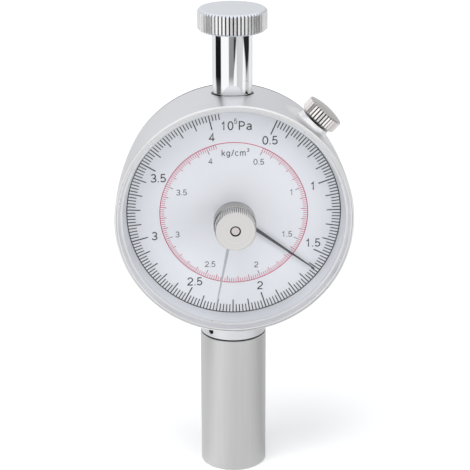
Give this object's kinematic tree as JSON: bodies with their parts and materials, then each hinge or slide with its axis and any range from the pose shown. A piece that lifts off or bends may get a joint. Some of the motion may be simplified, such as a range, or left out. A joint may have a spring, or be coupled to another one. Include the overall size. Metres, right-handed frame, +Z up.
{
  "type": "dial hardness tester",
  "caption": "Hand-held dial hardness tester for fruit: sprung plunger and rack-driven pointer, peak pointer with reset knob, clamped rotating dial, knurled handle and guard sleeve.",
  "frame": {"origin": "centre of the guard sleeve's lower face, on the plunger axis", "axes": "+Z up along the plunger axis to the handle; the dial faces -Y; +X is to the right of someone who reads the dial"},
  "size_m": [0.06, 0.0353, 0.1238],
  "materials": {
    "case_pearl": "satin pearl silver plating",
    "cover_pearl": "satin pearl silver plating",
    "bright_chrome": "bright chrome plate",
    "satin_nickel": "satin nickel-plated steel tube",
    "knob_steel": "turned and knurled nickel-plated steel",
    "brass": "turned brass",
    "steel": "ground steel",
    "spring_steel": "blued spring steel",
    "screw_steel": "zinc-plated steel screws",
    "black_screw": "blackened steel grub screw",
    "aluminium": "turned aluminium",
    "dial_white": "printed pale blue-white dial",
    "pointer_black": "black painted pointer",
    "pointer_grey": "pale grey pointer",
    "crystal": "clear acrylic crystal",
    "nylon": "nylon shoe and washer"
  },
  "bodies": {
    "case": {"case_body": "case_pearl", "back_cover": "cover_pearl", "back_cover_screws": "screw_steel", "movement_plate": "brass", "plate_pillars": "brass", "plate_screws": "screw_steel", "movement_screws": "screw_steel", "arbor_bridge": "brass", "bridge_pillars": "brass", "arbor_bush": "brass", "hairspring": "spring_steel", "hairspring_stud": "brass", "guide_rail": "brass", "upper_guide_bush": "brass", "handle_post": "bright_chrome", "handle_knob": "bright_chrome", "lower_guide_bush": "brass", "collar_set_screw": "black_screw", "bezel_snap_ring": "spring_steel"},
    "plunger": {"plunger_rod": "steel", "rack": "steel", "rack_carrier": "brass", "rack_screws": "screw_steel", "guide_pin": "steel", "spring_seat": "brass", "measuring_spring": "spring_steel", "indenter": "steel"},
    "driving_pointer": {"pointer_arbor": "steel", "pinion": "brass", "hairspring_collet": "brass", "main_pointer": "pointer_black"},
    "dial": {"bezel_ring": "case_pearl", "crystal": "crystal", "dial_spacer_ring": "aluminium", "dial_plate": "dial_white", "crystal_bush": "knob_steel", "crystal_nut": "brass"},
    "reset": {"reset_knob": "knob_steel", "reset_washer": "nylon", "reset_spindle": "steel", "peak_pointer": "pointer_grey"},
    "clamp_carriage": {"clamp_shoe": "nylon"},
    "clamp_screw": {"side_knob": "knob_steel", "side_screw": "steel"},
    "guard": {"guard_sleeve": "satin_nickel"}
  },
  "joints": [
    {"name": "plunger_slide", "type": "slide", "parent": "case", "child": "plunger", "axis": [0, 0, 1], "range_m": [0, 0.0072], "stiffness_N_per_m": 480, "springref_m": -0.001, "deforming": ["measuring_spring"]},
    {"name": "driving_pointer_turn", "type": "hinge", "parent": "case", "child": "driving_pointer", "pos_m": [0, -0.007, 0.07276], "axis": [0, 1, 0], "range_deg": [0, 331]},
    {"name": "dial_turn", "type": "hinge", "parent": "case", "child": "dial", "pos_m": [0, -0.01, 0.07276], "axis": [0, 1, 0], "continuous": true},
    {"name": "reset_turn", "type": "hinge", "parent": "dial", "child": "reset", "pos_m": [0, -0.016, 0.07276], "axis": [0, 1, 0], "range_deg": [-64, 290]},
    {"name": "clamp_carriage_slide", "type": "slide", "parent": "case", "child": "clamp_carriage", "axis": [0.6691, 0, 0.7431], "range_m": [0, 0.0005]},
    {"name": "clamp_screw_turn", "type": "hinge", "parent": "clamp_carriage", "child": "clamp_screw", "pos_m": [0.02242, -0.0044, 0.09766], "axis": [0.6691, 0, 0.7431], "range_deg": [0, 360]},
    {"name": "guard_pull_off", "type": "slide", "parent": "case", "child": "guard", "axis": [0, 0, -1], "range_m": [0, 0.045]}
  ],
  "couplings": [
    {"joint": "driving_pointer_turn", "follows": "plunger_slide", "rad_per_m": 800},
    {"joint": "clamp_screw_turn", "follows": "clamp_carriage_slide", "rad_per_m": 12566}
  ]
}
